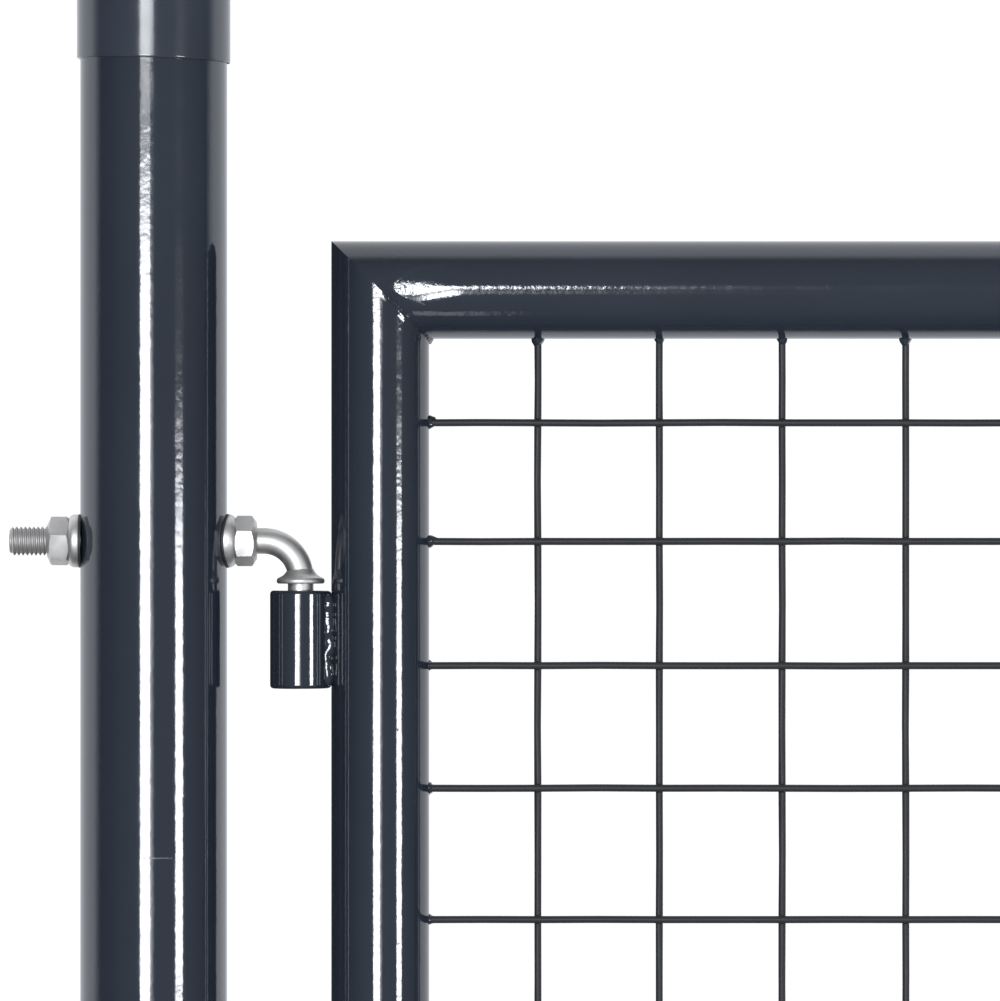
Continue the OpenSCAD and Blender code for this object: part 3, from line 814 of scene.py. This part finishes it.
weldShape = {
    "barrel": {"radius": 3.1 * mm, "ripple": 0.08, "lump": 0.32, "grain": 1.5, "sides": 20, "seed": 3.0,
               "inset": 1.2 * mm, "forward": 5.6 * mm, "flatten": 0.6, "step": 0.55 * mm,
               "outside": 1.1 * mm, "drift": 0.5 * mm, "driftLength": 6 * mm},
    "mitre": {"radius": 1.5 * mm, "ripple": 0.16, "lump": 0.32, "grain": 0.9, "sides": 12, "seed": 1.3,
              "sunk": 1.05 * mm, "crotch": 1.4, "crotchReach": 0.12, "thinned": 0.35, "thinnedReach": 0.26,
              "degrees": (8, 174, 2)},
    "case": {"radius": 1.6 * mm, "ripple": 0.25, "lump": 0.24, "grain": 0.9, "sides": 10, "seed": 1.7,
             "stitch": 24 * mm, "step": 0.8 * mm, "stitches": (0.14, 0.5, 0.86), "seamOut": 0.2 * mm,
             "seamIn": 0.1 * mm},
    "gusset": {"radius": 1.5 * mm, "ripple": 0.25, "lump": 0.24, "grain": 0.9, "sides": 10, "seed": 0.9,
               "sheet": 3 * mm, "middle": 8.5 * mm, "reach": 0.55},
    "dropRate": 1.7,
    "leastEnd": 0.02,  # keeps the tips of a bead open
    "crease": 75,
}


def weldBead(bm, path, shape, seed, fullness=None):
    # a run of weld metal: rounded ends, a ripple for each drop, and uneven lumps
    radius, grain = shape["radius"], shape["grain"]
    run = [0.0]
    for before, after in zip(path, path[1:]):
        run.append(run[-1] + (after - before).length)
    radii = []
    for along in run:
        end = min(along, run[-1] - along) / radius
        swell = math.sqrt(max(1 - (1 - min(end, 1)) ** 2, weldShape["leastEnd"]))
        beat = abs(math.sin(along / radius * weldShape["dropRate"] / grain + seed))
        drop = 1 + shape["ripple"] * (beat - 0.5)
        share = fullness(along / run[-1]) if fullness else 1
        radii.append(radius * swell * drop * share)
    shift, lump = Vector((seed * 7.1, seed * 3.7, seed * 1.9)), shape["lump"] * radius
    sweep(bm, path, radii, shape["sides"], lambda spot: lump * noise.noise(spot / (radius * grain) + shift))


def finishBeads(bm, name, body="leaf", standsFor=()):
    finishPiece(bm, name, body, "powder_coat", standsFor, weldShape["crease"])


def arcRound(axisX, radius, spread, z, steps):
    # round the hinge side of an upright tube from front to back
    angles = [spread * (2 * step / steps - 1) for step in range(steps + 1)]
    return [Vector((axisX - radius * math.cos(angle), radius * math.sin(angle), z)) for angle in angles]


def makeBarrelWelds():
    shape = weldShape["barrel"]
    bm = bmesh.new()
    for number, prefix in enumerate(("upper", "lower")):
        low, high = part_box(prefix + "_hinge_barrel")
        for side in (-1, 1):
            seed = shape["seed"] + 2.3 * number + side
            count = int((high.z - low.z - 2 * shape["inset"]) / shape["step"])
            path = []
            for step in range(count + 1):
                z = low.z + shape["inset"] + step * shape["step"]
                drift = shape["drift"] * noise.noise(Vector((z / shape["driftLength"], seed, 0)))
                path.append(Vector((leafBox[0].x - shape["outside"] + drift, side * shape["forward"], z)))
            bead = bmesh.new()
            weldBead(bead, path, shape, seed)
            for vert in bead.verts:
                vert.co.y += (vert.co.y - side * shape["forward"]) * (shape["flatten"] - 1)
            gather(bm, bead)
    finishBeads(bm, "barrel_weld_beads", "leaf", ("upper_barrel_weld", "lower_barrel_weld"))


def makeMitreWelds():
    # a small rippled bead round the inner half of each mitre, fuller in the inside corner
    shape = weldShape["mitre"]
    low, high = leafBox
    inner = tubeRadius - shape["sunk"]

    def fullness(share):
        aside = abs(share - 0.5)
        inside = max(1 - aside / shape["crotchReach"], 0)
        thinned = shape["thinned"] if aside < shape["thinnedReach"] else 0
        return 1 - thinned + shape["crotch"] * inside ** 0.5

    bm = bmesh.new()
    corners = ((low.x, high.z, 1, -1), (high.x, high.z, -1, -1), (low.x, low.z, 1, 1), (high.x, low.z, -1, 1))
    for number, (edgeX, edgeZ, inX, inZ) in enumerate(corners):
        path = []
        for degree in range(*shape["degrees"]):
            angle = math.radians(degree)
            reach = tubeRadius + inner * math.sin(angle)
            path.append(Vector((edgeX + inX * reach, -inner * math.cos(angle), edgeZ + inZ * reach)))
        weldBead(bm, path, shape, shape["seed"] + number, fullness)
    finishBeads(bm, "mitre_weld_beads")


def makeCaseWelds():
    # stitches along the seams where the lock case sits in the stile, and a fillet over and under it
    shape = weldShape["case"]
    low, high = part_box("lock_case")
    axisX = leafBox[1].x - tubeRadius
    half = (high.y - low.y) / 2
    seamX = axisX - math.sqrt(tubeRadius ** 2 - half ** 2)
    count = int(shape["stitch"] / shape["step"])
    bm = bmesh.new()
    seed = 0.0
    for side in (-1, 1):
        for share in shape["stitches"]:
            seed += shape["seed"]
            middle = low.z + (high.z - low.z) * share
            start = Vector((seamX - shape["seamOut"], side * (half - shape["seamIn"]), middle))
            upward = Vector((0, 0, shape["step"]))
            path = [start + upward * (step - count / 2) for step in range(count + 1)]
            weldBead(bm, path, shape, seed)
    for z in (low.z, high.z):
        seed += shape["seed"]
        weldBead(bm, arcRound(axisX, tubeRadius, math.asin(half / tubeRadius), z, 40), shape, seed)
    finishBeads(bm, "lock_case_weld_beads")


def makeGussetWelds():
    # where the strike plate's three gussets meet the latch post
    shape = weldShape["gusset"]
    low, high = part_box("strike_plate")
    postLow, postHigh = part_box("latch_post")
    axisX, radius = (postLow.x + postHigh.x) / 2, (postHigh.y - postLow.y) / 2
    levels = (low.z + shape["sheet"], (low.z + high.z) / 2 + shape["middle"], high.z - shape["sheet"])
    bm = bmesh.new()
    for number, z in enumerate(levels):
        path = arcRound(axisX, radius, math.asin(shape["reach"]), z, 32)
        weldBead(bm, path, shape, shape["seed"] + 1.4 * number)
    finishBeads(bm, "gusset_weld_beads", "posts")


makeBarrelWelds()
makeMitreWelds()
makeCaseWelds()
makeGussetWelds()
print("gate: weld beads made")


lockShape = {
    "screwRadius": 3.4 * mm,
    "screwProud": 0.6 * mm,
    "screwInset": 9 * mm,
    "screwSunk": 0.3 * mm,  # into the forend
    "screwBury": 1 * mm,
    "screwRound": 0.45 * mm,
    "socketRadius": 1.6 * mm,
    "socketDepth": 1.4 * mm,
    "roseRadius": 11.2 * mm,
    "roseProud": 1.6 * mm,
    "roseBury": 0.5 * mm,
    "roseOverlap": 0.4 * mm,  # with the neck
    "roseEdge": ((0, 0.4), (0.5 * mm, 0.8), (1.2 * mm, 1)),  # in from its rim, and share of its height
    "forendThick": 2.4 * mm,
    "forendWidth": 22 * mm,
    "forendInset": 2.5 * mm,
    "forendCorner": 4 * mm,
    "forendRim": 0.3 * mm,
    "boltClear": 0.5 * mm,
    "softened": [  # part, body, finish, width of its rounded edges, segments
        ("lock_case", "leaf", "powder_coat", 0.9 * mm, 3),
        ("front_handle_plate", "leaf", "handle_plastic", 1.4 * mm, 4),
        ("back_handle_plate", "leaf", "handle_plastic", 1.4 * mm, 4),
        ("lock_cylinder", "leaf", "nickel_brass", 0.3 * mm, 2),
        ("latch_bolt", "leaf", "zinc", 0.5 * mm, 3),
        ("dead_bolt", "leaf", "zinc", 0.5 * mm, 3),
        ("strike_plate", "posts", "powder_coat", 0.5 * mm, 2),
        ("stop_pad", "posts", "rubber", 0.8 * mm, 3),
    ],
}


def addScrew(bm, spot, outward):
    # a low round head with a six-sided socket, facing outward
    shape = lockShape
    head, socket, proud = shape["screwRadius"], shape["socketRadius"], shape["screwProud"]
    rings = [(24, head, -shape["screwBury"]), (24, head, proud * 0.35),
             (24, head - shape["screwRound"], proud), (6, socket, proud),
             (6, socket, proud - shape["socketDepth"])]
    place = placed(spot, outward)
    bridgeRings(bm, [addRing(bm, sides, radius, place @ Matrix.Translation((0, 0, height)))
                     for sides, radius, height in rings])


def makePlateFittings():
    # screws at the ends of both handle plates, and a rose round each lever neck
    shape = lockShape
    outer, proud, bury = shape["roseRadius"], shape["roseProud"], -shape["roseBury"]
    screws, roses = bmesh.new(), bmesh.new()
    for face, side in (("front", -1), ("back", 1)):
        low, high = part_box(face + "_handle_plate")
        leverLow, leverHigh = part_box(face + "_lever")
        y = low.y if side < 0 else high.y
        middle = (low.x + high.x) / 2
        for z in (low.z + shape["screwInset"], high.z - shape["screwInset"]):
            addScrew(screws, Vector((middle, y, z)), (0, side, 0))
        rose = bmesh.new()
        inner = (leverHigh.z - leverLow.z) / 2 - shape["roseOverlap"]
        edge = [(outer - inset, proud * share) for inset, share in shape["roseEdge"]]
        turned(rose, [(inner, bury), (outer, bury), *edge, (inner, proud), (inner, bury)], (0, 0, 0), 48)
        place = placed((middle, y, (leverLow.z + leverHigh.z) / 2), (0, side, 0))
        bmesh.ops.transform(rose, matrix=place, verts=rose.verts)
        gather(roses, rose)
    finishPiece(screws, "plate_screws", "leaf", "zinc")
    finishPiece(roses, "lever_roses", "leaf", "handle_plastic")


def makeForend():
    # the lock's forend in the stile's slot, cut round the latch and the dead bolt
    shape = lockShape
    low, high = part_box("lock_case")
    bolts = [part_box("dead_bolt"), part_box("latch_bolt")]
    half, thick, clear = shape["forendWidth"] / 2, shape["forendThick"], shape["boltClear"]
    bm = bmesh.new()
    sheet = Matrix.Translation((high.x, 0, (low.z + high.z) / 2)) @ Matrix.Rotation(math.radians(90), 4, "Y")
    size = Matrix.Diagonal(((high.z - low.z) / 2 - shape["forendInset"], half, 1, 1))
    bmesh.ops.create_grid(bm, x_segments=1, y_segments=1, size=1, matrix=sheet @ size)
    for side in (-1, 1):
        cutAt(bm, (0, side * (bolts[0][1].y + clear), 0), (0, 1, 0), clear=False)
    for boltLow, boltHigh in bolts:
        cutAt(bm, (0, 0, boltLow.z - clear), (0, 0, 1), clear=False)
        cutAt(bm, (0, 0, boltHigh.z + clear), (0, 0, 1), clear=False)
    holes = [face for face in bm.faces for boltLow, boltHigh in bolts
             if abs(face.calc_center_median().y) < boltHigh.y
             and boltLow.z < face.calc_center_median().z < boltHigh.z]
    bmesh.ops.delete(bm, geom=holes, context="FACES")
    grown = bmesh.ops.extrude_face_region(bm, geom=bm.faces[:])["geom"]
    bmesh.ops.translate(bm, vec=(thick, 0, 0), verts=[v for v in grown if isinstance(v, bmesh.types.BMVert)])
    bmesh.ops.recalc_face_normals(bm, faces=bm.faces)
    corners = []
    for edge in sharpEdges(bm, 60):
        first, second = (vert.co for vert in edge.verts)
        if abs(first.x - second.x) > thick / 2 and abs(first.y) > half - 0.1 * mm:
            corners.append(edge)
    roundEdges(bm, corners, shape["forendCorner"], 6)
    roundEdges(bm, sharpEdges(bm, 60), shape["forendRim"], 2)
    for z in (low.z + shape["screwInset"], high.z - shape["screwInset"]):
        addScrew(bm, Vector((high.x + thick - shape["screwSunk"], 0, z)), (1, 0, 0))
    finishPiece(bm, "lock_forend", "leaf", "zinc")


for row in lockShape["softened"]:
    softened(*row)
makePlateFittings()
makeForend()
print("gate: lock and strike made")


roomLook = {
    "floorRadius": 6.0,
    "floorShift": (0.47, 0, -0.5 * mm),
    "floorFade": (1.6, 5.7),
    "floorTone": (0.82, 0.82, 0.81, 1.0),
    "flagTone": (0.01, 0.01, 0.01, 1.0),
    "flagShift": (-2 * mm, 0.28),  # from the post's far side and back
    "flagHalf": 0.299,
    "paleTone": (1.0, 1.0, 1.0, 1.0),
    "paleStrength": 1.05,
    "lightTone": (0.92, 0.95, 1.0),
    "frontStrengths": (0.13, 0.46),  # from the sides to straight in front
    "frontFall": (-0.1, 1.0),
    "frontLean": (0.2, -1.0, 0.1),
    "backdropStrengths": (1.75, 1.15),  # from its near edge to straight behind
    "backdropFall": (0.2, 0.95),
    "backdropLean": (-0.03, 1.0, 0.28),
    "backdropEdge": (-0.02, 0.36),
}


def makeFloor():
    bm = bmesh.new()
    bmesh.ops.create_circle(bm, cap_ends=True, segments=96, radius=roomLook["floorRadius"])
    bmesh.ops.translate(bm, vec=roomLook["floorShift"], verts=bm.verts)
    floor = newObject("floor", bm)
    matt = {"Base Color": roomLook["floorTone"], "Roughness": 0.8}
    material, tree, shader, place = startFinish("paleFloor", **matt)
    fade = fadeOut(tree, vectorCalc(tree, "LENGTH", place), *roomLook["floorFade"])
    tree.links.new(fade, shader.inputs["Alpha"])
    floor.data.materials.append(material)
    floor.visible_glossy = False


def makeFlag():
    # a black card edge-on behind the hinge post keeps the backdrop's light off the stile's near side
    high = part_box("hinge_post")[1]
    bm = bmesh.new()
    bmesh.ops.create_grid(bm, x_segments=1, y_segments=1, size=1)
    shiftX, shiftY = roomLook["flagShift"]
    upright = Matrix.Rotation(math.radians(90), 4, "Y")
    spot = Matrix.Translation((high.x + shiftX, high.y + shiftY, high.z / 2))
    size = Matrix.Diagonal((high.z / 2, roomLook["flagHalf"], 1, 1))
    bmesh.ops.transform(bm, matrix=spot @ upright @ size, verts=bm.verts)
    flag = newObject("blackFlag", bm)
    material = startFinish("blackCard", **{"Base Color": roomLook["flagTone"], "Roughness": 0.9})[0]
    flag.data.materials.append(material)
    flag.visible_camera = flag.visible_diffuse = flag.visible_shadow = False


def makeSurroundings():
    # a pale room: the camera sees it plain, and reflections see a dim front and a bright backdrop
    world = bpy.data.worlds.new("paleRoom")
    world.use_nodes = True
    bpy.context.scene.world = world
    tree, look = world.node_tree, roomLook
    tree.nodes.clear()
    place = addNode(tree, "TexCoord").outputs["Generated"]
    facing = vectorCalc(tree, "DOT_PRODUCT", place, look["frontLean"])
    front = ramp(tree, facing, *look["frontFall"], *look["frontStrengths"])
    depth = addNode(tree, "SeparateXYZ", {"Vector": place}).outputs["Y"]
    backdrop = ramp(tree, depth, *look["backdropFall"], *look["backdropStrengths"], "LINEAR")
    behind = ramp(tree, vectorCalc(tree, "DOT_PRODUCT", place, look["backdropLean"]), *look["backdropEdge"])
    strength = blend(tree, "FLOAT", behind, front, backdrop)
    seen = addNode(tree, "Background", {"Color": (*look["lightTone"], 1.0), "Strength": strength})
    plain = addNode(tree, "Background", {"Color": look["paleTone"], "Strength": look["paleStrength"]})
    rays = addNode(tree, "LightPath").outputs["Is Camera Ray"]
    pick = addNode(tree, "MixShader", {
        "Fac": rays, 1: seen.outputs["Background"], 2: plain.outputs["Background"]})
    addNode(tree, "OutputWorld", {"Surface": pick.outputs["Shader"]})


softboxes = {  # where each stands, what it faces, width, height, and the glow that a mirror would show
    "main": ((-1.19, -6.0, 1.005), (-1.19, 0.0, 1.005), 1.68, 1.05, 34.0),
    "veil": ((-1.19, -6.0, 1.665), (-1.19, 0.0, 1.665), 1.68, 0.27, 4.5),
    "high": ((-0.865, -6.0, 2.13), (-0.865, 0.0, 2.13), 2.07, 0.68, 34.0),
    "edge": ((-0.2, -6.0, 1.0), (-0.2, 0.0, 1.0), 0.28, 0.95, 7.0),
    "fringe": ((0.08, -6.0, 1.015), (0.08, 0.0, 1.015), 0.26, 0.9, 3.0),
    "side": ((4.07, -4.41, 0.894), (0.0, 0.0, 0.894), 1.25, 0.588, 34.0),
    "low": ((0.085, -0.84, 0.1), (0.085, 0.0, 1.28), 0.09, 0.28, 2.2),
}
cameraShape = {"spot": (0.14135, -3.4, 1.1941), "lens": 299.6, "clip": (0.1, 100)}


def makeSoftbox(name, spot, target, width, height, glow):
    lamp = bpy.data.lights.new(name, "AREA")
    lamp.shape = "RECTANGLE"
    lamp.size, lamp.size_y = width, height
    lamp.energy = glow * math.pi * width * height
    lamp.color = roomLook["lightTone"]
    box = addObject(name, lamp)
    box.location = spot
    box.rotation_euler = (Vector(target) - Vector(spot)).to_track_quat("-Z", "Y").to_euler()
    box.visible_camera = False


def makeCamera():
    data = bpy.data.cameras.new("gateCamera")
    data.lens = cameraShape["lens"]
    data.clip_start, data.clip_end = cameraShape["clip"]
    camera = addObject("gateCamera", data)
    camera.location = cameraShape["spot"]
    camera.rotation_euler = (math.radians(90), 0, 0)
    bpy.context.scene.camera = camera


makeFloor()
makeFlag()
makeSurroundings()
for name, row in softboxes.items():
    makeSoftbox(name + "Softbox", *row)
makeCamera()
bpy.context.scene.view_settings.view_transform = "Standard"
print("gate: floor, light and camera made")
